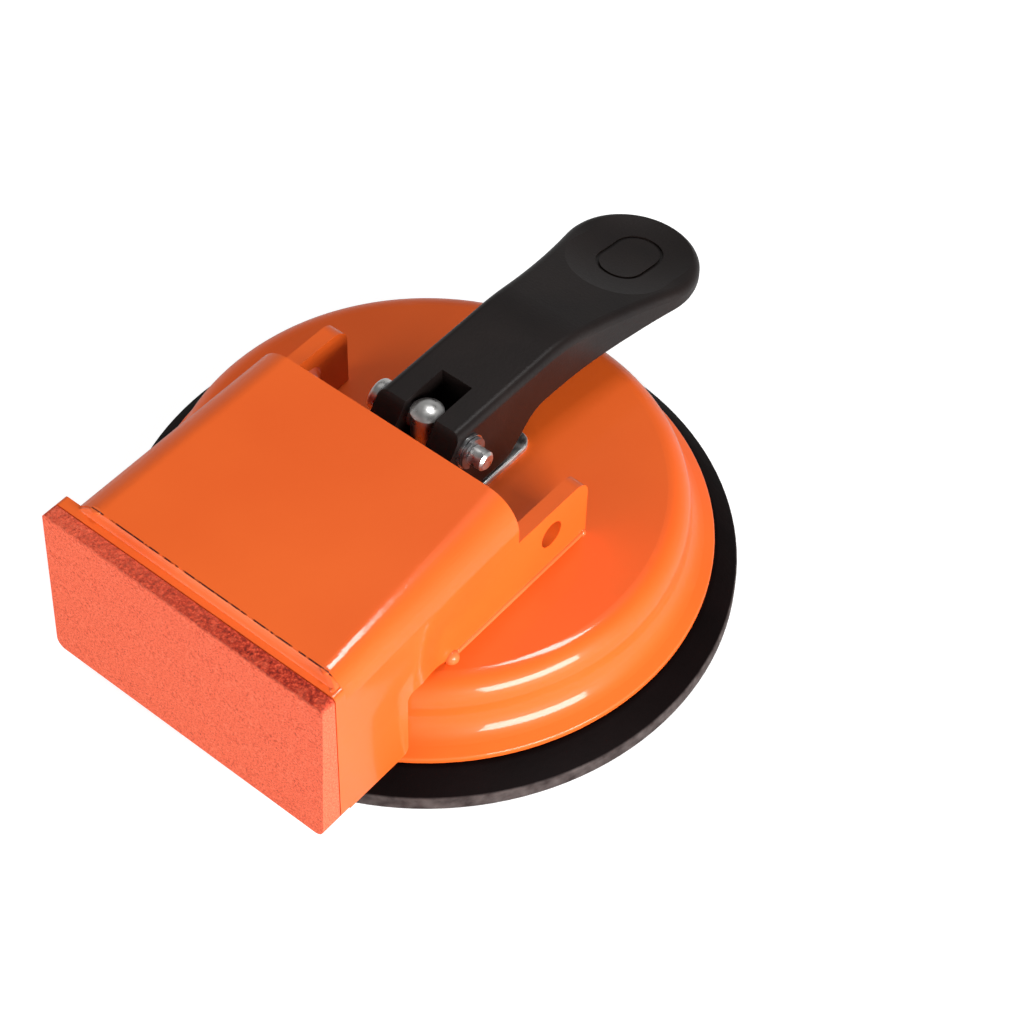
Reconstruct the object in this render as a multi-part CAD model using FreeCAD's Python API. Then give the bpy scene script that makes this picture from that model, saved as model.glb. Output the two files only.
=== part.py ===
import FreeCAD, Part
import math
import os

# Floor tile suction lifter: a vacuum foot with a cam lever, and a strike block welded over it.
# Millimetres. +Z is up and the floor is z = 0. The origin is the centre of the suction pad on
# the floor. The strike face looks towards -Y and the lever points towards +Y. The lever is
# shown pressed down, which is the gripping position: the cam holds the pad's centre lifted.

# ---- driving dimensions -------------------------------------------------------------------
# rubber suction pad
PAD_RADIUS = 75.0
PAD_EDGE_HEIGHT = 4.0
PAD_LIP_WIDTH = 17.0          # flat ring that seals on the floor
PAD_LEDGE = 8.0               # width of the flat ledge under the dome's rim
PAD_CENTRE_THICKNESS = 4.5
VACUUM_HEIGHT = 8.0           # height of the hollow under the lifted centre
SEAT_GAP = 0.3                # air left between pieces of different stiffness

# pressed steel dome
DOME_RIM_RADIUS = 69.0
DOME_RIM_HEIGHT = 9.4
DOME_RIM_EDGE = 1.6
DOME_WALL_RADIUS = 62.5
DOME_FLANGE_RISE = 3.3
DOME_TOP = 27.4               # height of the plateau at the shoulder
DOME_CROWN = 0.5              # how much the plateau's flat middle stands above its edge
CROWN_RADIUS = 30.0
DOME_SHEET = 2.0
DOME_SHOULDER_RADIUS = 6.0
DOME_FOOT_RADIUS = 7.0

# bent steel hood with its two lugs
HOOD_HALF_WIDTH = 38.5
HOOD_TOP = 59.0
HOOD_SHEET = 4.0
HOOD_CORNER_RADIUS = 9.0
HOOD_FRONT_RADIUS = 4.8       # the top bends are tighter at the strike plate
HOOD_REAR = -14.0             # rear edge of the top panel
HOOD_FLARE = 2.4              # how far each front skirt stands out from the lug
SKIRT_REAR = -54.5
SKIRT_BOTTOM = 12.8
SKIRT_NOTCH = 34.5            # height of the notch over the dome's shoulder
FLARE_START = -53.0           # the skirt joggles in between these two places
FLARE_END = -40.0
FLARE_STEPS = 8               # sections through the joggle
LUG_DROP = 12.5               # the lugs' top lies this far under the hood's top
LUG_REAR = 11.0
LUG_FRONT_FOOT = -38.0
LUG_CORNER_RADIUS = 4.5
LUG_HOLE_RADIUS = 3.5
LUG_HOLE_Y = -2.0
LUG_HOLE_DROP = 8.0           # from the lug's top down to the hole's middle
FOOT_GAP = 0.1                # air under the hood's foot, which the welds bridge
FOOT_WELD_RADIUS = 0.6
WELD_DROP_RADIUS = 1.9        # round drop where each foot weld ends at the front
TACK_RADIUS = 0.8

# strike block
STRIKE_HALF_WIDTH = 40.9
STRIKE_BOTTOM = 11.4
STRIKE_DROP = 2.6             # the plate's top edge lies this far under the hood's top
STRIKE_CORNER_RADIUS = 2.5
STRIKE_TOP_CORNER_RADIUS = 1.2
STRIKE_PLATE_REAR = -74.0
STRIKE_PLATE_THICKNESS = 3.0
STRIKE_PAD_THICKNESS = 3.7    # at the top edge
STRIKE_PAD_WEDGE = 2.0        # and this much more at the bottom edge
ADHESIVE_THICKNESS = 0.3

# lever, cam and pivot
CAM_LOW = 16.5                # pivot to cam foot with the lever down
CAM_STROKE = 6.0              # how far the rod drops when the lever stands up
CAM_RADIUS = 13.5
LEVER_ANGLE = 75.0            # degrees from down to up
LEVER_HALF_WIDTH = 12.0
LEVER_TOP_ABOVE_PIVOT = 6.7
LEVER_BELLY_BELOW_PIVOT = 7.5
LEVER_TIP_DROP = 9.6          # the thumb pad's middle lies this far under the lever's top
LEVER_TIP_FALL = 2.2          # and its end this much lower still
LEVER_TIP_THICKNESS = 5.2
LEVER_TIP_CENTRE = 76.5
LEVER_TIP_RADIUS = 17.5
LEVER_FLARE_RADIUS = 200.0
LEVER_NOSE = 2.4              # the top face starts this far in front of the pivot
LEVER_HEEL = 15.5
LEVER_HEEL_RUN = 9.5          # the heel rises to the belly over this length
LEVER_BEND = 37.0             # the flat top ends here
LEVER_BEND_RADIUS = 50.0
LEVER_BELLY_END = 4.0         # the belly's straight stretch ends this far past the bend
LEVER_BELLY_RUN = 18.0        # and joins the thumb pad's underside over this length
LEVER_BELLY_RADIUS = 60.0
LEVER_EDGE_RADIUS = 2.2
LEVER_LOWER_EDGE_RADIUS = 0.8
THUMB_DISH_RADIUS = 75.0
THUMB_DISH_DEPTH = 1.1
THUMB_MARK_LENGTH = 19.0      # plain oval groove round the thumb pad's middle
THUMB_MARK_HALF_WIDTH = 6.5
THUMB_MARK_CORNER_RADIUS = 6.2
THUMB_GROOVE_WIDTH = 0.9
THUMB_GROOVE_DEPTH = 0.5
FORK_HALF_GAP = 4.5
FORK_DEPTH = 10.6
LEVER_WALL = 3.2

ROD_RADIUS = 4.0
ROD_TOP_ABOVE_PIVOT = 6.4
ROD_DOME_HEIGHT = 1.6
PIN_RADIUS = 2.5
PIN_END = 18.0
PIN_CHAMFER = 0.6
PIN_HEAD_RADIUS = 4.2
PIN_HEAD_LENGTH = 2.4
PIN_GROOVE_RADIUS = 1.9
PIN_WASHER_RADIUS = 4.4
PIN_WASHER_THICKNESS = 0.8
CLIP_RADIUS = 4.0
CLIP_THICKNESS = 0.8
CLIP_MOUTH = 2.8
RUNNING_CLEARANCE = 0.05
SIDE_CLEARANCE = 0.1

# wear plate, guide bush, spring and the plate bonded into the pad
WEAR_HALF_WIDTH = 12.6
WEAR_FRONT = -12.0
WEAR_REAR = 24.5
WEAR_THICKNESS = 1.4
WEAR_CORNER_RADIUS = 4.0
BUSH_RADIUS = 6.0
BUSH_FLANGE_RADIUS = 7.5
BUSH_FLANGE_THICKNESS = 1.2
BUSH_TAIL = 4.0
BUSH_CLEARANCE = 0.1
SPRING_WIRE_RADIUS = 1.0
SPRING_RADIUS = 9.3
SPRING_TURNS = 4
SPRING_WASHER_RADIUS = 12.5
DISC_RADIUS = 21.0
DISC_THICKNESS = 2.5
LOCK_WASHER_RADIUS = 6.5
LOCK_WASHER_THICKNESS = 1.2
NUT_FLATS = 13.0
NUT_HEIGHT = 4.0

# ---- sizes worked out from them -----------------------------------------------------------
DOME_CENTRE_TOP = DOME_TOP + DOME_CROWN
DOME_CEILING = DOME_CENTRE_TOP - DOME_SHEET
WEAR_TOP = DOME_CENTRE_TOP + WEAR_THICKNESS
PIVOT_HEIGHT = WEAR_TOP + SEAT_GAP + CAM_LOW
LEVER_TOP = PIVOT_HEIGHT + LEVER_TOP_ABOVE_PIVOT
LEVER_BELLY = PIVOT_HEIGHT - LEVER_BELLY_BELOW_PIVOT
CAM_FOOT = WEAR_TOP + SEAT_GAP
CAM_ANGLE = math.radians(90 - LEVER_ANGLE / 2)
CAM_OFFSET = CAM_STROKE / (2 * math.cos(CAM_ANGLE))
CAM_Y = CAM_OFFSET * math.sin(CAM_ANGLE)
CAM_Z = CAM_FOOT + CAM_RADIUS
HOOD_FOOT = DOME_CENTRE_TOP + FOOT_GAP
LUG_TOP = HOOD_TOP - LUG_DROP
LUG_HOLE_Z = LUG_TOP - LUG_HOLE_DROP
STRIKE_TOP = HOOD_TOP - STRIKE_DROP
HOOD_FRONT = STRIKE_PLATE_REAR
STRIKE_PLATE_FRONT = STRIKE_PLATE_REAR - STRIKE_PLATE_THICKNESS
STRIKE_PAD_REAR = STRIKE_PLATE_FRONT - ADHESIVE_THICKNESS
STRIKE_FACE = STRIKE_PAD_REAR - STRIKE_PAD_THICKNESS
PAD_CENTRE_TOP = VACUUM_HEIGHT + PAD_CENTRE_THICKNESS
DISC_BOTTOM = PAD_CENTRE_TOP + 0.2
DISC_TOP = DISC_BOTTOM + DISC_THICKNESS
FAR = 200.0                   # reach of cutting blocks


def vec(x, y, z):
    return FreeCAD.Vector(x, y, z)


def in_xy(a, b):
    return vec(a, b, 0)


def in_xz(a, b):
    return vec(a, 0, b)


def in_yz(a, b):
    return vec(0, a, b)


def outline(corners, place):
    """Closed wire through (a, b, radius) corners, each corner rounded by a tangent arc."""
    points = [place(a, b) for a, b, radius in corners]
    starts, ends, middles = [], [], []
    for i, point in enumerate(points):
        radius = corners[i][2]
        before = (points[i - 1] - point).normalize()
        after = (points[(i + 1) % len(points)] - point).normalize()
        half = before.getAngle(after) / 2
        inward = (before + after).normalize() if radius else before
        reach = radius / math.tan(half)
        starts.append(point + before * reach)
        ends.append(point + after * reach)
        middles.append(point + inward * (radius / math.sin(half) - radius))
    edges = []
    for i in range(len(points)):
        if corners[i][2]:
            edges.append(Part.Arc(starts[i], middles[i], ends[i]).toShape())
        following = starts[(i + 1) % len(points)]
        if ends[i].distanceToPoint(following) > 1e-6:
            edges.append(Part.LineSegment(ends[i], following).toShape())
    return Part.Wire(edges)


def extrude(corners, place, low, high):
    """Solid between two places along the axis that the outline's plane lacks."""
    normal = {in_xy: vec(0, 0, 1), in_xz: vec(0, 1, 0), in_yz: vec(1, 0, 0)}[place]
    face = Part.Face(outline(corners, place))
    face.translate(normal * low)
    return face.extrude(normal * (high - low))


def turned(corners):
    """Solid of revolution about Z from (r, z, radius) corners."""
    return Part.Face(outline(corners, in_xz)).revolve(vec(0, 0, 0), vec(0, 0, 1), 360)


def block(x0, x1, y0, y1, z0, z1):
    return Part.makeBox(x1 - x0, y1 - y0, z1 - z0, vec(x0, y0, z0))


def rod_along_z(radius, low, high):
    return Part.makeCylinder(radius, high - low, vec(0, 0, low))


def rod_along_x(radius, low, high, y, z):
    return Part.makeCylinder(radius, high - low, vec(low, y, z), vec(1, 0, 0))


def mirrored(shape):
    return shape.mirror(vec(0, 0, 0), vec(1, 0, 0))


def round_edges(shape, radius, wanted):
    """Fillet the edges that the test picks."""
    return shape.makeFillet(radius, [edge for edge in shape.Edges if wanted(edge)])


# ---- suction side -------------------------------------------------------------------------
def rubber_pad():
    """Moulded cup: a flat sealing lip, a sloping shoulder and a lifted middle over the vacuum."""
    seat = DOME_RIM_HEIGHT - SEAT_GAP
    lip_inside = PAD_RADIUS - PAD_LIP_WIDTH
    hub = DISC_RADIUS + 3.0
    return turned([
        (0, VACUUM_HEIGHT, 0), (hub - 4, VACUUM_HEIGHT, 30), (lip_inside, 0, 12),
        (PAD_RADIUS, 0, 0.5), (PAD_RADIUS, PAD_EDGE_HEIGHT, 0.7), (DOME_RIM_RADIUS + 0.6, seat, 2),
        (DOME_RIM_RADIUS - PAD_LEDGE, seat, 8), (hub, PAD_CENTRE_TOP, 8), (0, PAD_CENTRE_TOP, 0)])


def dome_shell():
    """Pressed round cover: turned-out rim, upright wall, soft shoulder and crowned plateau."""
    flange = DOME_RIM_HEIGHT + DOME_RIM_EDGE + DOME_FLANGE_RISE
    inner_wall = DOME_WALL_RADIUS - DOME_SHEET
    outside = turned([
        (0, DOME_RIM_HEIGHT, 0), (DOME_RIM_RADIUS, DOME_RIM_HEIGHT, 0.4),
        (DOME_RIM_RADIUS, DOME_RIM_HEIGHT + DOME_RIM_EDGE, 0.7),
        (DOME_WALL_RADIUS, flange, DOME_FOOT_RADIUS),
        (DOME_WALL_RADIUS, DOME_TOP, DOME_SHOULDER_RADIUS), (CROWN_RADIUS, DOME_CENTRE_TOP, 0),
        (0, DOME_CENTRE_TOP, 0)])
    inside = turned([
        (0, DOME_RIM_HEIGHT, 0), (DOME_RIM_RADIUS - 1.5, DOME_RIM_HEIGHT, 0),
        (inner_wall, flange - DOME_SHEET + 0.6, DOME_FOOT_RADIUS + DOME_SHEET),
        (inner_wall, DOME_TOP - DOME_SHEET, DOME_SHOULDER_RADIUS - DOME_SHEET),
        (CROWN_RADIUS, DOME_CEILING, 0), (0, DOME_CEILING, 0)])
    hole = rod_along_z(BUSH_RADIUS + BUSH_CLEARANCE, 0, FAR)
    return outside.cut(inside).cut(hole)


def rod_bush():
    """Flanged guide pressed up into the dome's middle hole."""
    flange = rod_along_z(BUSH_FLANGE_RADIUS, DOME_CEILING - BUSH_FLANGE_THICKNESS, DOME_CEILING)
    body = rod_along_z(BUSH_RADIUS, DOME_CEILING - BUSH_TAIL, DOME_CENTRE_TOP - BUSH_CLEARANCE)
    bore = rod_along_z(ROD_RADIUS + RUNNING_CLEARANCE, 0, FAR)
    return body.fuse(flange).removeSplitter().cut(bore)


def spring_washer():
    """Flat ring round the bush that takes the spring's upper end."""
    low = DOME_CEILING - BUSH_FLANGE_THICKNESS
    ring = rod_along_z(SPRING_WASHER_RADIUS, low, DOME_CEILING)
    return ring.cut(rod_along_z(BUSH_FLANGE_RADIUS + 0.2, 0, FAR))


def return_spring():
    """Compression spring between the bonded disc and the dome."""
    low = DISC_TOP + SPRING_WIRE_RADIUS + 0.1
    high = DOME_CEILING - BUSH_FLANGE_THICKNESS - SPRING_WIRE_RADIUS - 0.1
    pitch = (high - low) / SPRING_TURNS
    path = Part.makeHelix(pitch, high - low, SPRING_RADIUS)
    path.translate(vec(0, 0, low))
    wire = Part.Wire([Part.makeCircle(SPRING_WIRE_RADIUS, vec(SPRING_RADIUS, 0, low), vec(0, 1, 0))])
    return Part.Wire(path.Edges).makePipeShell([wire], True, True)


def insert_disc():
    """Steel disc bonded into the rubber pad's centre, through which the rod lifts it."""
    disc = rod_along_z(DISC_RADIUS, DISC_BOTTOM, DISC_TOP)
    disc = disc.makeChamfer(0.2 * DISC_THICKNESS, [edge for edge in disc.Edges if edge.Closed])
    return disc.cut(rod_along_z(ROD_RADIUS + 0.03, 0, FAR))


def lock_washer():
    """Split spring washer between the disc and its nut."""
    ring = rod_along_z(LOCK_WASHER_RADIUS, DISC_TOP, DISC_TOP + LOCK_WASHER_THICKNESS)
    ring = ring.cut(rod_along_z(ROD_RADIUS + 0.2, 0, FAR))
    return ring.cut(block(-0.6, 0.6, 0, FAR, 0, FAR))


def disc_nut():
    """Hexagon nut that locks the rod to the disc."""
    corner = NUT_FLATS / math.sqrt(3)
    corners = []
    for side in range(6):
        angle = math.radians(60 * side)
        corners.append((corner * math.cos(angle), corner * math.sin(angle), 0))
    low = DISC_TOP + LOCK_WASHER_THICKNESS
    nut = extrude(corners, in_xy, low, low + NUT_HEIGHT)
    return nut.cut(rod_along_z(ROD_RADIUS + 0.03, 0, FAR))


def pull_rod():
    """Plated rod with a domed end and a cross hole for the pivot pin."""
    top = PIVOT_HEIGHT + ROD_TOP_ABOVE_PIVOT
    shank = rod_along_z(ROD_RADIUS, DISC_BOTTOM + 0.5, top - ROD_DOME_HEIGHT)
    ball = (ROD_RADIUS ** 2 + ROD_DOME_HEIGHT ** 2) / (2 * ROD_DOME_HEIGHT)
    cap = Part.makeSphere(ball, vec(0, 0, top - ball))
    cap = cap.common(rod_along_z(ROD_RADIUS, top - ROD_DOME_HEIGHT, top + 1))
    hole = rod_along_x(PIN_RADIUS + 0.02, -FAR, FAR, 0, PIVOT_HEIGHT)
    return shank.fuse(cap).removeSplitter().cut(hole)


def wear_plate():
    """Thin hard plate on the dome that the cam bears on, with a hole for the rod."""
    corners = [
        (-WEAR_HALF_WIDTH, WEAR_FRONT, 2), (WEAR_HALF_WIDTH, WEAR_FRONT, 2),
        (WEAR_HALF_WIDTH, WEAR_REAR, WEAR_CORNER_RADIUS),
        (-WEAR_HALF_WIDTH, WEAR_REAR, WEAR_CORNER_RADIUS)]
    plate = extrude(corners, in_xy, DOME_CENTRE_TOP, WEAR_TOP)
    plate = round_edges(plate, 0.5, lambda edge: edge.BoundBox.ZMin > WEAR_TOP - 0.01)
    return plate.cut(rod_along_z(ROD_RADIUS + 0.5, 0, FAR))


# ---- hood and strike block ----------------------------------------------------------------
def hood_section(y, half_width, bend, inset):
    """Upright section through the bent sheet's outer form, or its inner form when inset."""
    x = half_width - inset
    top = HOOD_TOP - inset
    wire = outline([(-x, 0, 0), (x, 0, 0), (x, top, bend - inset), (-x, top, bend - inset)], in_xz)
    wire.translate(vec(0, y, 0))
    return wire


def hood_envelope(inset):
    """Outer form of the bent sheet, or its inner form when inset by the sheet's thickness.

    The top bends grow softer from the strike plate to the lugs, and each skirt joggles in."""
    narrow = HOOD_HALF_WIDTH
    wide = narrow + HOOD_FLARE
    run = FLARE_END - FLARE_START
    growth = (HOOD_CORNER_RADIUS - HOOD_FRONT_RADIUS) / (FLARE_END - HOOD_FRONT)
    joggle = []
    for step in range(FLARE_STEPS + 1):
        share = step / FLARE_STEPS
        y = FLARE_START + run * share
        half_width = wide - HOOD_FLARE * share ** 2 * (3 - 2 * share)
        bend = HOOD_FRONT_RADIUS + growth * (y - HOOD_FRONT)
        joggle.append(hood_section(y, half_width, bend, inset))
    front = [hood_section(HOOD_FRONT, wide, HOOD_FRONT_RADIUS, inset), joggle[0]]
    rear = [joggle[-1], hood_section(LUG_REAR, narrow, HOOD_CORNER_RADIUS, inset)]
    middle = Part.makeLoft(joggle, True, False)
    return middle.fuse([Part.makeLoft(front, True, True), Part.makeLoft(rear, True, True)])


def hood():
    """Bent sheet from the strike plate over the dome: top panel, skirts and drilled lugs."""
    body = hood_envelope(0.0).cut(hood_envelope(HOOD_SHEET))
    keep = extrude([
        (HOOD_FRONT, SKIRT_BOTTOM, 0), (SKIRT_REAR, SKIRT_BOTTOM, 2),
        (SKIRT_REAR, SKIRT_NOTCH, 2), (LUG_FRONT_FOOT, HOOD_FOOT, 3), (LUG_REAR, HOOD_FOOT, 0),
        (LUG_REAR, LUG_TOP, LUG_CORNER_RADIUS), (HOOD_REAR, LUG_TOP, 0),
        (HOOD_REAR, HOOD_TOP + 1, 0), (HOOD_FRONT, HOOD_TOP + 1, 0)], in_yz, -FAR, FAR)
    holes = rod_along_x(LUG_HOLE_RADIUS, -FAR, FAR, LUG_HOLE_Y, LUG_HOLE_Z)
    return body.common(keep).cut(holes)


def strike_outline():
    return [
        (-STRIKE_HALF_WIDTH, STRIKE_BOTTOM, STRIKE_CORNER_RADIUS),
        (STRIKE_HALF_WIDTH, STRIKE_BOTTOM, STRIKE_CORNER_RADIUS),
        (STRIKE_HALF_WIDTH, STRIKE_TOP, STRIKE_TOP_CORNER_RADIUS),
        (-STRIKE_HALF_WIDTH, STRIKE_TOP, STRIKE_TOP_CORNER_RADIUS)]


def strike_plate():
    """Flat steel plate that closes the hood's front and carries the hammer blow."""
    return extrude(strike_outline(), in_xz, STRIKE_PLATE_FRONT, STRIKE_PLATE_REAR)


def strike_pad():
    """Rubber pad on the plate that takes the mallet, a little thicker towards its foot."""
    foot = STRIKE_FACE - STRIKE_PAD_WEDGE
    slab = extrude(strike_outline(), in_xz, foot, STRIKE_PAD_REAR)
    wedge = extrude([
        (STRIKE_PAD_REAR, STRIKE_BOTTOM, 0), (STRIKE_PAD_REAR, STRIKE_TOP, 0),
        (STRIKE_FACE, STRIKE_TOP, 0), (foot, STRIKE_BOTTOM, 0)], in_yz, -FAR, FAR)
    return slab.common(wedge)


def pad_adhesive():
    """Glue film between the rubber sheet and the plate."""
    inset = 0.6
    corners = []
    for a, b, radius in strike_outline():
        b_inset = b + inset if b == STRIKE_BOTTOM else b - inset
        corners.append((a - math.copysign(inset, a), b_inset, radius))
    return extrude(corners, in_xz, STRIKE_PAD_REAR, STRIKE_PLATE_FRONT)


def plate_welds(hood_shape):
    """Fillet weld along the hood's top front edge, ending in two small tacks on each side."""
    bend_x = HOOD_HALF_WIDTH + HOOD_FLARE - HOOD_FRONT_RADIUS
    toe = HOOD_FRONT - 0.6 * STRIKE_DROP
    form = hood_section(HOOD_FRONT, HOOD_HALF_WIDTH + HOOD_FLARE, HOOD_FRONT_RADIUS, 0.2)
    form = Part.Face(form).extrude(vec(0, -STRIKE_DROP, 0))
    slope = extrude([
        (HOOD_FRONT, STRIKE_TOP, 0), (HOOD_FRONT, HOOD_TOP, 0), (toe, STRIKE_TOP + 0.3, 0),
        (toe, STRIKE_TOP, 0)], in_yz, -FAR, FAR)
    tacks = []
    for side in (-1, 1):
        high = vec(side * (bend_x + TACK_RADIUS), HOOD_FRONT, HOOD_TOP - 0.4 * TACK_RADIUS)
        low = vec(side * (STRIKE_HALF_WIDTH - 2 * TACK_RADIUS), toe, STRIKE_TOP)
        tacks += [Part.makeSphere(TACK_RADIUS, high), Part.makeSphere(TACK_RADIUS, low)]
    under_top = block(-FAR, FAR, -FAR, FAR, 0, HOOD_TOP)
    welds = form.common(slope).fuse(tacks).common(under_top)
    return welds.cut(hood_shape).cut(strike_plate())


def hood_weld(hood_shape, dome_shape):
    """Fillet weld along the outside of the right lug's foot, with a round drop at its front."""
    x = HOOD_HALF_WIDTH
    start = LUG_FRONT_FOOT + 1
    end = LUG_REAR - 1
    run = Part.makeCylinder(FOOT_WELD_RADIUS, end - start, vec(x, start, HOOD_FOOT), vec(0, 1, 0))
    drop = Part.makeSphere(WELD_DROP_RADIUS, vec(x, start, HOOD_FOOT))
    heel = Part.makeSphere(1.5 * FOOT_WELD_RADIUS, vec(x, end, HOOD_FOOT))
    outside = block(x, FAR, -FAR, FAR, DOME_TOP, FAR)
    return run.fuse([drop, heel]).common(outside).cut(hood_shape).cut(dome_shape)


# ---- lever --------------------------------------------------------------------------------
def lever_plan():
    """Half plan of the lever on +X, from the fork to the round thumb pad."""
    flare_x = LEVER_HALF_WIDTH + LEVER_FLARE_RADIUS
    reach = LEVER_FLARE_RADIUS + LEVER_TIP_RADIUS
    flare_y = LEVER_TIP_CENTRE - math.sqrt(reach ** 2 - flare_x ** 2)
    touch_x = LEVER_TIP_RADIUS * flare_x / reach
    touch_y = LEVER_TIP_CENTRE + LEVER_TIP_RADIUS * (flare_y - LEVER_TIP_CENTRE) / reach
    turn = math.atan2(LEVER_TIP_CENTRE - flare_y, flare_x) / 2
    middle_x = flare_x - LEVER_FLARE_RADIUS * math.cos(turn)
    middle_y = flare_y + LEVER_FLARE_RADIUS * math.sin(turn)
    front = -CAM_RADIUS
    tip = LEVER_TIP_CENTRE + LEVER_TIP_RADIUS
    touch = vec(touch_x, touch_y, 0)
    edges = [Part.Arc(touch, vec(0, tip, 0), vec(-touch_x, touch_y, 0)).toShape()]
    for side in (1, -1):
        nose = vec(side * LEVER_HALF_WIDTH, front, 0)
        start = vec(side * LEVER_HALF_WIDTH, flare_y, 0)
        middle = vec(side * middle_x, middle_y, 0)
        edges.append(Part.LineSegment(vec(0, front, 0), nose).toShape())
        edges.append(Part.LineSegment(nose, start).toShape())
        edges.append(Part.Arc(start, middle, vec(side * touch_x, touch_y, 0)).toShape())
    return Part.Wire(Part.__sortEdges__(edges))


def lever():
    """Moulded lever: cam fork, deep arm with a hollow back, and a dished thumb pad."""
    tip = LEVER_TIP_CENTRE + LEVER_TIP_RADIUS + 1
    tip_top = LEVER_TOP - LEVER_TIP_DROP
    tip_low = tip_top - LEVER_TIP_THICKNESS
    belly_end = LEVER_BEND + LEVER_BELLY_END
    cam_front = CAM_Y - CAM_RADIUS
    side = extrude([
        (-LEVER_NOSE, LEVER_TOP, 0), (LEVER_BEND, LEVER_TOP, LEVER_BEND_RADIUS),
        (LEVER_TIP_CENTRE, tip_top, LEVER_BEND_RADIUS),
        (tip, tip_top - LEVER_TIP_FALL, 0), (tip, tip_low, 0),
        (belly_end + LEVER_BELLY_RUN, tip_low, LEVER_BELLY_RADIUS),
        (belly_end, LEVER_BELLY, LEVER_BELLY_RADIUS),
        (LEVER_HEEL + LEVER_HEEL_RUN, LEVER_BELLY, 9),
        (LEVER_HEEL, CAM_FOOT, 3), (cam_front, CAM_FOOT, 0), (cam_front, CAM_Z - 1, 0)],
        in_yz, -FAR, FAR)
    plan = Part.Face(lever_plan())
    plan.translate(vec(0, 0, CAM_FOOT - 5))
    body = side.common(plan.extrude(vec(0, 0, FAR)))
    upper = tip_top - LEVER_TIP_FALL - 1
    body = round_edges(body, LEVER_EDGE_RADIUS,
                       lambda edge: long_edge(edge) and edge.BoundBox.ZMin > upper)
    body = round_edges(body, LEVER_LOWER_EDGE_RADIUS,
                       lambda edge: long_edge(edge) and edge.BoundBox.ZMax < LEVER_BELLY + 0.1)
    relief = block(-FAR, FAR, cam_front - 5, CAM_Y, CAM_FOOT - 5, CAM_Z - 1)
    relief = relief.cut(rod_along_x(CAM_RADIUS, -FAR, FAR, CAM_Y, CAM_Z))
    notch = block(-FORK_HALF_GAP, FORK_HALF_GAP, -FAR, FORK_DEPTH, 0, FAR)
    hole = rod_along_x(PIN_RADIUS + RUNNING_CLEARANCE, -FAR, FAR, 0, PIVOT_HEIGHT)
    body = body.cut(relief).cut(notch).cut(hole)
    for pocket in lever_pockets():
        body = body.cut(pocket)
    return body.cut(thumb_ball(0.0)).cut(thumb_groove())


def long_edge(edge):
    """True for an edge along the lever, beyond its fork end."""
    box = edge.BoundBox
    return box.YMax > CAM_RADIUS and box.YLength > 1 and box.ZLength < box.YLength


def thumb_ball(extra):
    """Ball that hollows the thumb pad, at right angles to the pad's falling face."""
    fall = math.atan2(LEVER_TIP_DROP, LEVER_TIP_CENTRE - LEVER_BEND)
    reach = THUMB_DISH_RADIUS - THUMB_DISH_DEPTH
    centre = vec(0, LEVER_TIP_CENTRE + reach * math.sin(0.75 * fall),
                 LEVER_TOP - LEVER_TIP_DROP + reach * math.cos(0.75 * fall))
    return Part.makeSphere(THUMB_DISH_RADIUS + extra, centre)


def thumb_groove():
    """Plain oval groove pressed into the dished thumb pad, along the lever."""
    shapes = []
    for inset in (0.0, THUMB_GROOVE_WIDTH):
        near = LEVER_TIP_CENTRE - THUMB_MARK_LENGTH / 2 + inset
        far = LEVER_TIP_CENTRE + THUMB_MARK_LENGTH / 2 - inset
        half = THUMB_MARK_HALF_WIDTH - inset
        radius = THUMB_MARK_CORNER_RADIUS - inset
        corners = [(-half, near, radius), (half, near, radius), (half, far, radius), (-half, far, radius)]
        shapes.append(extrude(corners, in_xy, CAM_FOOT, LEVER_TOP))
    ring = shapes[0].cut(shapes[1])
    return ring.common(thumb_ball(THUMB_GROOVE_DEPTH))


def lever_pockets():
    """Moulded hollows in the lever's underside, left and right of a middle rib."""
    rib = LEVER_WALL / 2
    outer = LEVER_HALF_WIDTH - LEVER_WALL
    front = FORK_DEPTH + LEVER_WALL
    rear = LEVER_BEND - LEVER_WALL
    right = extrude([
        (rib, front, 1), (outer, front, 1), (outer, rear, 1), (rib, rear, 1)],
        in_xy, 0, LEVER_TOP - 1.5 * LEVER_WALL)
    return [right, mirrored(right)]


# ---- pivot --------------------------------------------------------------------------------
def pivot_pin():
    """Headed cross pin with a clip groove."""
    washer_out = LEVER_HALF_WIDTH + SIDE_CLEARANCE + PIN_WASHER_THICKNESS
    head_in = -washer_out - 0.05
    shank = rod_along_x(PIN_RADIUS, head_in, PIN_END, 0, PIVOT_HEIGHT)
    shank = shank.makeChamfer(PIN_CHAMFER, [e for e in shank.Edges if e.BoundBox.XMin > PIN_END - 0.01])
    head = rod_along_x(PIN_HEAD_RADIUS, head_in - PIN_HEAD_LENGTH, head_in, 0, PIVOT_HEIGHT)
    head = round_edges(head, 0.45 * PIN_HEAD_LENGTH,
                       lambda e: e.Closed and e.BoundBox.XMax < head_in - PIN_HEAD_LENGTH + 0.01)
    groove_in = washer_out + 0.05
    groove = rod_along_x(PIN_RADIUS + 1, groove_in, groove_in + CLIP_THICKNESS + 0.2, 0, PIVOT_HEIGHT)
    groove = groove.cut(rod_along_x(PIN_GROOVE_RADIUS, -FAR, FAR, 0, PIVOT_HEIGHT))
    return shank.fuse(head).removeSplitter().cut(groove)


def pin_washers():
    """Flat washers between the fork's two arms and the pin's head and clip."""
    inner = LEVER_HALF_WIDTH + SIDE_CLEARANCE
    ring = rod_along_x(PIN_WASHER_RADIUS, inner, inner + PIN_WASHER_THICKNESS, 0, PIVOT_HEIGHT)
    ring = ring.cut(rod_along_x(PIN_RADIUS + 0.1, 0, FAR, 0, PIVOT_HEIGHT))
    return Part.makeCompound([ring, mirrored(ring)])


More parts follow.
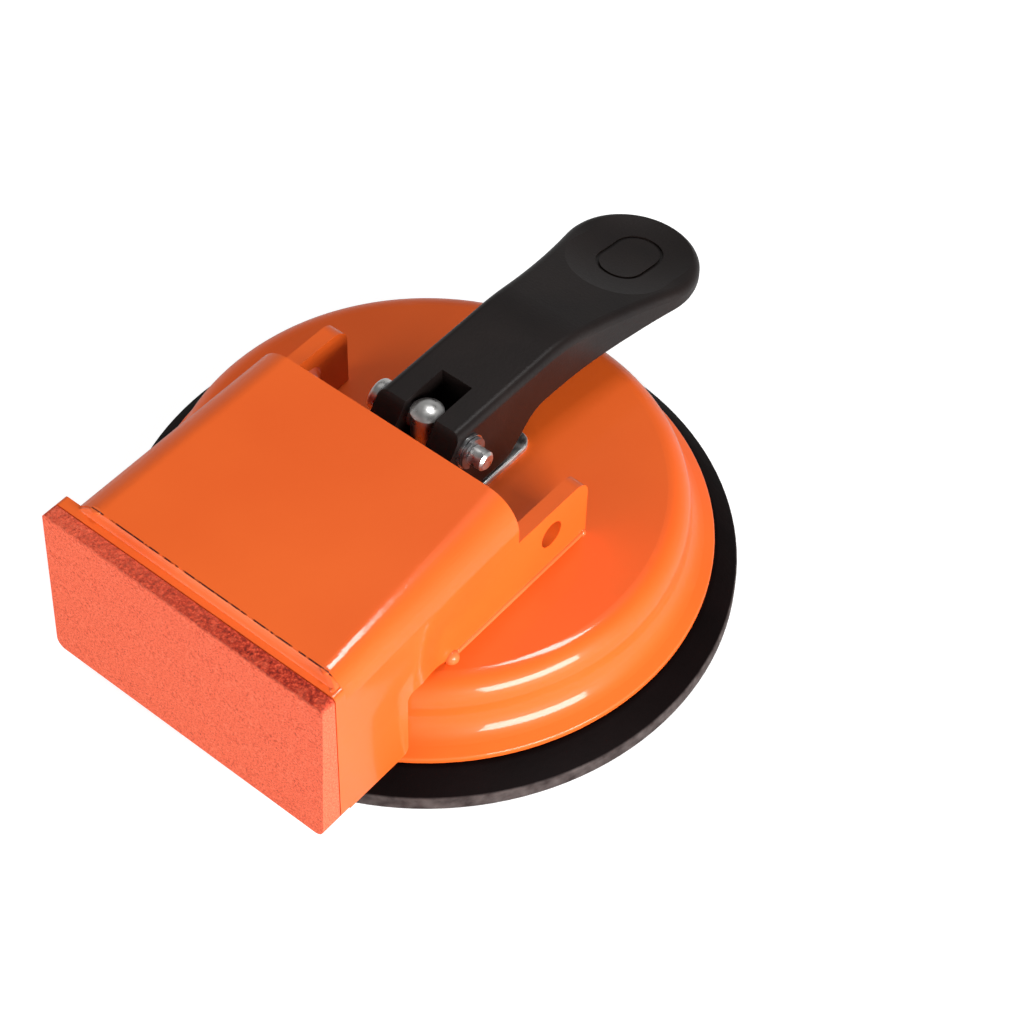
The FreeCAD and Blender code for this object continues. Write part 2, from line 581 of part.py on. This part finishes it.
def e_clip():
    """Open spring clip in the pin's groove."""
    low = LEVER_HALF_WIDTH + SIDE_CLEARANCE + PIN_WASHER_THICKNESS + 0.15
    ring = rod_along_x(CLIP_RADIUS, low, low + CLIP_THICKNESS, 0, PIVOT_HEIGHT)
    ring = ring.cut(rod_along_x(PIN_GROOVE_RADIUS + 0.03, 0, FAR, 0, PIVOT_HEIGHT))
    mouth = block(0, FAR, -CLIP_MOUTH / 2, CLIP_MOUTH / 2, PIVOT_HEIGHT - 2 * CLIP_RADIUS, PIVOT_HEIGHT)
    return ring.cut(mouth)


def main():
    dome = dome_shell()
    hood_shape = hood()
    right_weld = hood_weld(hood_shape, dome)
    parts = {
        "rubber_pad": rubber_pad(),
        "dome_shell": dome,
        "rod_bush": rod_bush(),
        "spring_washer": spring_washer(),
        "return_spring": return_spring(),
        "insert_disc": insert_disc(),
        "lock_washer": lock_washer(),
        "disc_nut": disc_nut(),
        "pull_rod": pull_rod(),
        "wear_plate": wear_plate(),
        "hood": hood_shape,
        "hood_weld_right": right_weld,
        "hood_weld_left": mirrored(right_weld),
        "strike_plate": strike_plate(),
        "strike_pad": strike_pad(),
        "pad_adhesive": pad_adhesive(),
        "plate_welds": plate_welds(hood_shape),
        "lever": lever(),
        "pivot_pin": pivot_pin(),
        "pin_washers": pin_washers(),
        "e_clip": e_clip(),
    }
    os.makedirs("parts", exist_ok=True)
    for name, shape in parts.items():
        shape.exportStep("parts/" + name + ".step")
        print(name, "valid", shape.isValid(), "solids", len(shape.Solids), "volume", round(shape.Volume, 1))


main()
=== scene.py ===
import math
import bmesh
import bpy
from mathutils import Matrix, Vector


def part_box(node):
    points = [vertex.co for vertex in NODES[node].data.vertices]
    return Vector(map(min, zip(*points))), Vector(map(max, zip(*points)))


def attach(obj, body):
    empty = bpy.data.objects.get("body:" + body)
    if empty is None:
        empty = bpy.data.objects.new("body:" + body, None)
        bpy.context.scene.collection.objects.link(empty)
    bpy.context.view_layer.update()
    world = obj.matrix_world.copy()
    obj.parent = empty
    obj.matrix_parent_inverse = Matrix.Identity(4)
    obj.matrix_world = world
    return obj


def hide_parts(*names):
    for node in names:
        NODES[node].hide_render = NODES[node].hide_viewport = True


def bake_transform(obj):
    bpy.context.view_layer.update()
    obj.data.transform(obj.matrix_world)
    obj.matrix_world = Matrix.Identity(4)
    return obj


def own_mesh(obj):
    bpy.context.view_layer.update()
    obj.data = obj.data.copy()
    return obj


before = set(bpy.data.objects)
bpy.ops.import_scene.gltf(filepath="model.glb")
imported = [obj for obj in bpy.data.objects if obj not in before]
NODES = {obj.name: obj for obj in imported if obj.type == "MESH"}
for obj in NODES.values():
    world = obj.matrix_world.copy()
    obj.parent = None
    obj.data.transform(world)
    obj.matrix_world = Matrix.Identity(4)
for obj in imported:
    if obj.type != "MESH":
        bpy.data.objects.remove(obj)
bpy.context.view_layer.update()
PAD_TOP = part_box("strike_pad")[1][2]
PAD_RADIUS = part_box("rubber_pad")[1][0]
HOOD_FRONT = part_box("hood")[0][1]
HOOD_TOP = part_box("hood")[1][2]
EDGE_HEIGHT = 0.004           # upright outer edge of the rubber pad
HOOD_REAR = -0.014            # rear edge of the hood's top panel
HOOD_HALF_WIDTH = 0.0385      # at the lugs
HOOD_FLARE = 0.0024           # and this much more at the strike plate
FLARE_START, FLARE_END = -0.053, -0.040
BEND_FRONT, BEND_REAR = 0.0048, 0.009
BEND_LEAN = 0.0025            # by which the right bend tightens towards the strike plate
FADE_LOW = 0.038              # the flare is whole below this height
HOOD_SLICE, HOOD_SLICES = 0.0015, 25      # cuts across the hood, from its front edge back
FADE_SLICE, FADE_SLICES = 0.001, 16       # level cuts, from FADE_LOW up
PAD_CUT_RADIUS = 0.060        # where the pad's lip ends and its middle starts
SHARP_ANGLE = 32


# ---- materials ----------------------------------------------------------------------------
class Mat:
    """A small helper round one material's node tree."""

    def __init__(self, name):
        self.mat = bpy.data.materials.new(name)
        self.mat.use_nodes = True
        self.tree = self.mat.node_tree
        self.bsdf = self.tree.nodes["Principled BSDF"]

    def set(self, **values):
        for key, value in values.items():
            self.bsdf.inputs[key.replace("_", " ")].default_value = value
        return self

    def node(self, kind, **values):
        made = self.tree.nodes.new(kind)
        for key, value in values.items():
            if hasattr(made, key):
                setattr(made, key, value)
            else:
                made.inputs[key.replace("_", " ")].default_value = value
        return made

    def link(self, start, end):
        self.tree.links.new(start, end)

    def coords(self):
        return self.node("ShaderNodeTexCoord").outputs["Object"]

    def noise(self, scale, detail=3.0, roughness=0.5):
        made = self.node("ShaderNodeTexNoise", Scale=scale, Detail=detail, Roughness=roughness)
        self.link(self.coords(), made.inputs["Vector"])
        return made.outputs["Fac"]

    def ramp(self, factor, stops):
        made = self.node("ShaderNodeValToRGB")
        while len(made.color_ramp.elements) < len(stops):
            made.color_ramp.elements.new(0.5)
        for element, (place, color) in zip(made.color_ramp.elements, stops):
            element.position = place
            element.color = color
        self.link(factor, made.inputs["Fac"])
        return made.outputs["Color"]

    def bump(self, height, strength, distance):
        made = self.node("ShaderNodeBump", Strength=strength, Distance=distance)
        self.link(height, made.inputs["Height"])
        self.link(made.outputs["Normal"], self.bsdf.inputs["Normal"])


def rgb(r, g, b):
    """Linear colour from an sRGB one on 0 to 255."""
    def linear(c):
        c /= 255
        return c / 12.92 if c <= 0.04045 else ((c + 0.055) / 1.055) ** 2.4
    return (linear(r), linear(g), linear(b), 1.0)


def near(m, value, centre, reach, soft):
    """1 within reach of the centre, falling to 0 over the soft width."""
    away = m.node("ShaderNodeMath", operation="SUBTRACT")
    m.link(value, away.inputs[0])
    away.inputs[1].default_value = centre
    size = m.node("ShaderNodeMath", operation="ABSOLUTE")
    m.link(away.outputs[0], size.inputs[0])
    fall = m.node("ShaderNodeMapRange", From_Min=reach, From_Max=reach + soft, To_Min=1.0, To_Max=0.0)
    m.link(size.outputs[0], fall.inputs["Value"])
    return fall.outputs[0]


def product(m, first, second):
    made = m.node("ShaderNodeMath", operation="MULTIPLY")
    m.link(first, made.inputs[0])
    m.link(second, made.inputs[1])
    return made.outputs[0]


def blend(m, share, below, above):
    """Colour that runs from one socket's or value's colour to another's."""
    mix = m.node("ShaderNodeMix", data_type="RGBA")
    m.link(share, mix.inputs["Factor"])
    for name, color in (("A", below), ("B", above)):
        if isinstance(color, tuple):
            mix.inputs[name].default_value = color
        else:
            m.link(color, mix.inputs[name])
    return mix.outputs["Result"]


def paint(name, color, worn, seam=False):
    """Glossy enamel. With a seam, dark breaks show where the weld meets the hood's top edge."""
    m = Mat(name)
    m.set(Roughness=0.45, Specular_IOR_Level=0.25, Coat_Weight=0.6, Coat_Roughness=0.08, IOR=1.45)
    base = m.ramp(m.noise(scale=22, detail=2), [(0.35, worn), (0.62, color)])
    if seam:
        place = m.node("ShaderNodeSeparateXYZ")
        m.link(m.coords(), place.inputs["Vector"])
        line = near(m, place.outputs["Y"], HOOD_FRONT, reach=0.00008, soft=0.00012)
        high = near(m, place.outputs["Z"], HOOD_TOP, reach=0.0006, soft=0.0004)
        broken = m.ramp(m.noise(scale=420, detail=3), [(0.4, (0, 0, 0, 1)), (0.5, (1, 1, 1, 1))])
        share = product(m, product(m, line, high), broken)
        base = blend(m, share, base, rgb(70, 20, 10))
    m.link(base, m.bsdf.inputs["Base Color"])
    m.bump(m.noise(scale=420, detail=2), strength=0.05, distance=0.0004)
    return m.mat


def grey(value):
    return (value, value, value, 1)


def metal(name, color, roughness):
    """Bare metal with faint smudges in its colour and gloss."""
    m = Mat(name)
    m.set(Metallic=1.0)
    smudge = tuple(0.82 * c for c in color[:3]) + (1,)
    base = m.ramp(m.noise(scale=90, detail=4), [(0.3, smudge), (0.7, color)])
    m.link(base, m.bsdf.inputs["Base Color"])
    dull = m.ramp(m.noise(scale=600), [(0.3, grey(0.7 * roughness)), (0.7, grey(1.3 * roughness))])
    m.link(dull, m.bsdf.inputs["Roughness"])
    m.bump(m.noise(scale=600), strength=0.06, distance=0.0003)
    return m.mat


def grained(name, dark, light, roughness, grain, strength, gloss=0.5):
    """Plastic or film in two close shades, with a fine grain."""
    m = Mat(name)
    m.set(Roughness=roughness, Specular_IOR_Level=gloss)
    base = m.ramp(m.noise(scale=60, detail=5), [(0.3, dark), (0.75, light)])
    m.link(base, m.bsdf.inputs["Base Color"])
    m.bump(m.noise(scale=grain, detail=4), strength=strength, distance=0.0003)
    return m.mat


def speckled(name):
    """Coral rubber crumb: fine light and dark specks, and a torn, darker top edge."""
    m = Mat(name)
    m.set(Roughness=0.9, IOR=1.4)
    crumb = m.ramp(m.noise(scale=2300, roughness=0.6),
                   [(0.30, rgb(178, 52, 38)), (0.43, rgb(236, 98, 66)),
                    (0.62, rgb(250, 118, 84)), (0.75, rgb(255, 140, 116))])
    torn = m.ramp(m.noise(scale=1100, detail=5, roughness=0.7),
                  [(0.36, rgb(104, 24, 12)), (0.5, rgb(172, 46, 24)), (0.66, rgb(230, 88, 56))])
    place = m.node("ShaderNodeSeparateXYZ")
    m.link(m.coords(), place.inputs["Vector"])
    wobble = m.node("ShaderNodeMath", operation="MULTIPLY_ADD")
    m.link(m.noise(scale=420, detail=4), wobble.inputs[0])
    wobble.inputs[1].default_value = 0.0022
    m.link(place.outputs["Z"], wobble.inputs[2])
    edge = m.node("ShaderNodeMapRange", From_Min=PAD_TOP - 0.0002, From_Max=PAD_TOP + 0.0011)
    m.link(wobble.outputs[0], edge.inputs["Value"])
    side = m.node("ShaderNodeMapRange", From_Min=-0.045, From_Max=0.02, To_Min=0.45, To_Max=1.0)
    m.link(place.outputs["X"], side.inputs["Value"])
    share = product(m, edge.outputs[0], side.outputs[0])
    m.link(blend(m, share, crumb, torn), m.bsdf.inputs["Base Color"])
    m.bump(m.noise(scale=1500, detail=4), strength=0.6, distance=0.0005)
    return m.mat


def pad_rubber():
    """Near-black rubber whose low upright outer edge is painted grey: painted light on the pad's lit
    side.
    """
    m = Mat("pad_rubber")
    m.set(Roughness=0.6, Specular_IOR_Level=0.03)
    place = m.node("ShaderNodeSeparateXYZ")
    m.link(m.coords(), place.inputs["Vector"])
    around = m.node("ShaderNodeCombineXYZ")
    m.link(place.outputs["X"], around.inputs["X"])
    m.link(place.outputs["Y"], around.inputs["Y"])
    away = m.node("ShaderNodeVectorMath", operation="LENGTH")
    m.link(around.outputs[0], away.inputs[0])
    low = near(m, place.outputs["Z"], 0.0, reach=EDGE_HEIGHT, soft=0.0004)
    outer = near(m, away.outputs["Value"], PAD_RADIUS, reach=0.0003, soft=0.0004)
    band = product(m, low, outer)
    # painted light: the pad's upright side is painted lighter grey than its top
    lit_edge_grey = m.ramp(m.noise(scale=300, detail=4), [(0.3, rgb(54, 46, 45)), (0.7, rgb(92, 83, 81))])
    body = m.ramp(m.noise(scale=60, detail=5), [(0.3, rgb(7, 3, 3)), (0.75, rgb(14, 6, 6))])
    m.link(blend(m, band, body, lit_edge_grey), m.bsdf.inputs["Base Color"])
    m.bump(m.noise(scale=700, detail=4), strength=0.2, distance=0.0003)
    return m.mat


ORANGE = paint("dome_paint", color=rgb(240, 100, 30), worn=rgb(235, 94, 26))
HOOD = paint("hood_paint", color=rgb(240, 102, 34), worn=rgb(235, 96, 30), seam=True)
# the weld paint is lighter than the hood's, a painted highlight for the beads' bright spots
WELD = paint("weld_paint", color=rgb(242, 116, 58), worn=rgb(226, 86, 30), seam=True)
RUBBER = pad_rubber()
LEVER = grained("lever_plastic", rgb(18, 12, 11), rgb(29, 21, 19),
                roughness=0.4, grain=1500, strength=0.12, gloss=0.32)
# the adhesive's coral is partly its own colour and partly lightened, a painted highlight along the pad
# and plate joint
ADHESIVE = grained("adhesive_film", rgb(206, 92, 62), rgb(226, 116, 84),
                   roughness=0.8, grain=500, strength=0.4)
STRIKE = speckled("strike_rubber")
NICKEL = metal("rod_nickel", (0.92, 0.91, 0.89, 1), roughness=0.34)
BRIGHT = metal("bright_plate", (0.92, 0.92, 0.91, 1), roughness=0.42)
ZINC = metal("plated_steel", (0.72, 0.73, 0.74, 1), roughness=0.26)
SPRING = metal("spring_steel", (0.4, 0.4, 0.41, 1), roughness=0.34)
BUSH = grained("bush_acetal", rgb(214, 210, 196), rgb(232, 230, 220),
               roughness=0.5, grain=500, strength=0.05)

LOOKS = {
    "rubber_pad": RUBBER, "dome_shell": ORANGE, "rod_bush": BUSH, "spring_washer": ZINC,
    "return_spring": SPRING, "insert_disc": ZINC, "lock_washer": SPRING, "disc_nut": ZINC,
    "pull_rod": NICKEL, "wear_plate": BRIGHT, "hood": HOOD, "hood_weld_right": WELD,
    "hood_weld_left": WELD, "strike_plate": HOOD, "strike_pad": STRIKE, "pad_adhesive": ADHESIVE,
    "plate_welds": WELD, "lever": LEVER, "pivot_pin": NICKEL, "pin_washers": ZINC, "e_clip": SPRING,
}
for name, obj in NODES.items():
    obj.data.materials.clear()
    obj.data.materials.append(LOOKS[name])


# ---- pieces that stand for a CAD node -----------------------------------------------------
def new_piece(name, mesh, node):
    """Object from a mesh, with the node's material, that stands for the node."""
    obj = bpy.data.objects.new(name, mesh)
    bpy.context.collection.objects.link(obj)
    for polygon in mesh.polygons:
        polygon.use_smooth = True
    mesh.set_sharp_from_angle(angle=math.radians(SHARP_ANGLE))
    mesh.materials.clear()
    mesh.materials.append(LOOKS[node])
    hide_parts(node)
    return obj


def plain_mesh(name, node):
    """The node's own closed mesh, welded at its seams, for a piece that is then reshaped."""
    form = bmesh.new()
    form.from_mesh(NODES[node].data)
    bmesh.ops.remove_doubles(form, verts=form.verts, dist=1e-6)
    mesh = bpy.data.meshes.new(name)
    form.to_mesh(mesh)
    form.free()
    custom = mesh.attributes.get("custom_normal")
    if custom:
        mesh.attributes.remove(custom)
    return mesh


def pad_pieces():
    """The pad cut at PAD_CUT_RADIUS into its lip, which stays under the dome's rim, and its middle,
    which gets a mesh of its own.
    """
    bpy.ops.mesh.primitive_cylinder_add(radius=PAD_CUT_RADIUS, depth=0.1, vertices=256)
    cutter = bpy.context.object
    for name, operation in (("pad_lip", "DIFFERENCE"), ("pad_middle", "INTERSECT")):
        whole = bpy.data.objects.new(name + "_whole", plain_mesh(name + "_whole", "rubber_pad"))
        bpy.context.collection.objects.link(whole)
        cut = whole.modifiers.new("cut", "BOOLEAN")
        cut.object = cutter
        cut.operation = operation
        cut.solver = "EXACT"
        evaluated = whole.evaluated_get(bpy.context.evaluated_depsgraph_get())
        mesh = bpy.data.meshes.new_from_object(evaluated)
        bpy.data.objects.remove(whole)
        piece = new_piece(name, mesh, "rubber_pad")
        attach(piece, "root")
        if name == "pad_middle":
            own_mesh(piece)
    bpy.data.objects.remove(cutter)


def spring_piece():
    """The spring's own mesh as a piece, with its placement baked into the mesh."""
    spring = new_piece("spring_coil", plain_mesh("spring_coil", "return_spring"), "return_spring")
    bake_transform(spring)


def smooth_step(value, low, high):
    """0 below low, 1 above high, and an even S between them."""
    share = min(max((value - low) / (high - low), 0.0), 1.0)
    return share * share * (3 - 2 * share)


def hood_shift(x, y, z):
    """New x and z of a point of the hood's sheet: its top bends run straight to the strike plate,
    the right one leaning out to it, and each skirt's flare fades out below them."""
    side = math.copysign(1, x)
    x = abs(x)
    forward = min(max((HOOD_REAR - y) / (HOOD_REAR - HOOD_FRONT), 0.0), 1.0)
    growth = (BEND_REAR - BEND_FRONT) / (FLARE_END - HOOD_FRONT)
    bend = min(BEND_FRONT + growth * max(y - HOOD_FRONT, 0), BEND_REAR)
    wide = HOOD_HALF_WIDTH + HOOD_FLARE * (1 - smooth_step(y, FLARE_START, FLARE_END))
    lean = 1.0 if side > 0 else 0.0
    new_bend = BEND_REAR - BEND_LEAN * lean * forward
    new_wide = HOOD_HALF_WIDTH + HOOD_FLARE * lean * forward
    flat, new_flat = wide - bend, new_wide - new_bend
    if z > HOOD_TOP - bend and x > flat:
        angle = math.atan2(x - flat, z - HOOD_TOP + bend)
        reach = new_bend - bend + math.hypot(x - flat, z - HOOD_TOP + bend)
        return side * (new_flat + reach * math.sin(angle)), HOOD_TOP - new_bend + reach * math.cos(angle)
    if z > HOOD_TOP - 2 * bend and x <= flat:
        return side * x * new_flat / flat, z
    low = HOOD_TOP - bend
    share = max((z - FADE_LOW) / (low - FADE_LOW), 0.0)
    new_z = z + share * (bend - new_bend)
    fade = smooth_step(new_z, FADE_LOW, HOOD_TOP - new_bend)
    return side * (x - wide + (1 - fade) * wide + fade * new_wide), new_z


def hood_piece(name, node):
    """Piece cut finely where the hood's sheet changes form, and then moved by hood_shift."""
    form = bmesh.new()
    form.from_mesh(plain_mesh(name, node))
    cuts = [((0, 1, 0), (0, HOOD_FRONT + HOOD_SLICE * step, 0)) for step in range(1, HOOD_SLICES + 1)]
    cuts += [((0, 0, 1), (0, 0, FADE_LOW + FADE_SLICE * step)) for step in range(FADE_SLICES)]
    for normal, place in cuts:
        geometry = form.verts[:] + form.edges[:] + form.faces[:]
        bmesh.ops.bisect_plane(form, geom=geometry, dist=1e-7, plane_co=place, plane_no=normal)
    bmesh.ops.triangulate(form, faces=form.faces[:])
    for vertex in form.verts:
        vertex.co.x, vertex.co.z = hood_shift(*vertex.co)
    mesh = bpy.data.meshes.new(name)
    form.to_mesh(mesh)
    form.free()
    piece = new_piece(name, mesh, node)
    level = piece.modifiers.new("level_flats", "WEIGHTED_NORMAL")
    level.keep_sharp = True
    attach(piece, "root")


pad_pieces()
spring_piece()
hood_piece("hood_sheet", "hood")
hood_piece("hood_seam", "plate_welds")


# ---- studio -------------------------------------------------------------------------------
def floor_material():
    """Matt floor that looks white to the camera and pale grey in the paint's reflections."""
    m = Mat("floor_white").set(Base_Color=(0.55, 0.55, 0.55, 1), Roughness=0.95)
    path = m.node("ShaderNodeLightPath")
    seen = m.node("ShaderNodeMath", operation="MULTIPLY")
    m.link(path.outputs["Is Camera Ray"], seen.inputs[0])
    seen.inputs[1].default_value = 0.7
    glow = m.node("ShaderNodeMath", operation="MULTIPLY_ADD")
    m.link(path.outputs["Is Glossy Ray"], glow.inputs[0])
    glow.inputs[1].default_value = 0.1
    m.link(seen.outputs[0], glow.inputs[2])
    m.bsdf.inputs["Emission Color"].default_value = (1, 1, 1, 1)
    m.link(glow.outputs[0], m.bsdf.inputs["Emission Strength"])
    return m.mat


bpy.ops.mesh.primitive_plane_add(size=6, location=(0, 0, -0.0002))
floor = bpy.context.object
floor.name = "floor"
floor.data.materials.append(floor_material())


def area_light(name, direction, distance, size, power):
    """Softbox in that direction from the object, turned towards it, its long side level."""
    data = bpy.data.lights.new(name, "AREA")
    data.shape = "RECTANGLE"
    data.size, data.size_y = size
    data.energy = power
    obj = bpy.data.objects.new(name, data)
    bpy.context.collection.objects.link(obj)
    obj.location = Vector(direction).normalized() * distance
    obj.rotation_euler = obj.location.to_track_quat("Z", "Y").to_euler()


area_light("right", (0.93, -0.2, 0.33), distance=1.1, size=(0.7, 0.4), power=19)
area_light("top", (-0.02, 0.36, 0.93), distance=1.1, size=(0.3, 0.12), power=3.0)
area_light("fill", (-0.35, -0.9, 0.4), distance=1.2, size=(0.8, 0.6), power=6.3)

def studio_world():
    """White to the camera. It lights the object with a soft grey that darkens overhead."""
    world = bpy.data.worlds.new("studio")
    bpy.context.scene.world = world
    world.use_nodes = True
    tree = world.node_tree
    tree.nodes.clear()
    soft = tree.nodes.new("ShaderNodeBackground")
    soft.inputs["Color"].default_value = (1, 1, 1, 1)
    direction = tree.nodes.new("ShaderNodeTexCoord")
    height = tree.nodes.new("ShaderNodeSeparateXYZ")
    tree.links.new(direction.outputs["Generated"], height.inputs["Vector"])
    fade = tree.nodes.new("ShaderNodeMapRange")
    fade.interpolation_type = "SMOOTHSTEP"
    for socket, value in (("From Min", 0.0), ("From Max", 0.75), ("To Min", 0.5), ("To Max", 0.12)):
        fade.inputs[socket].default_value = value
    tree.links.new(height.outputs["Z"], fade.inputs["Value"])
    tree.links.new(fade.outputs["Result"], soft.inputs["Strength"])
    white = tree.nodes.new("ShaderNodeBackground")
    white.inputs["Color"].default_value = (1, 1, 1, 1)
    white.inputs["Strength"].default_value = 1.0
    path = tree.nodes.new("ShaderNodeLightPath")
    mix = tree.nodes.new("ShaderNodeMixShader")
    out = tree.nodes.new("ShaderNodeOutputWorld")
    tree.links.new(path.outputs["Is Camera Ray"], mix.inputs[0])
    tree.links.new(soft.outputs[0], mix.inputs[1])
    tree.links.new(white.outputs[0], mix.inputs[2])
    tree.links.new(mix.outputs[0], out.inputs["Surface"])


studio_world()


# ---- camera -------------------------------------------------------------------------------
AZIMUTH = math.radians(37.665)
ELEVATION = math.radians(50.097)
ROLL = math.radians(2.089)
DISTANCE = 0.6325
SHIFT = (0.020525, 0.009425)
FOCAL = 91.36

back = Vector((math.sin(AZIMUTH) * math.cos(ELEVATION), -math.cos(AZIMUTH) * math.cos(ELEVATION),
               math.sin(ELEVATION)))
level = Vector((math.cos(AZIMUTH), math.sin(AZIMUTH), 0))
upward = back.cross(level)
right = math.cos(ROLL) * level + math.sin(ROLL) * upward
up = -math.sin(ROLL) * level + math.cos(ROLL) * upward
place = back * DISTANCE + right * SHIFT[0] + up * SHIFT[1]
camera_data = bpy.data.cameras.new("camera")
camera_data.lens = FOCAL
camera_data.sensor_width = 36
camera_data.clip_start = 0.01
camera = bpy.data.objects.new("camera", camera_data)
bpy.context.collection.objects.link(camera)
camera.matrix_world = Matrix((
    (right.x, up.x, back.x, place.x),
    (right.y, up.y, back.y, place.y),
    (right.z, up.z, back.z, place.z),
    (0, 0, 0, 1)))
bpy.context.scene.camera = camera
bpy.context.scene.view_settings.view_transform = "Standard"
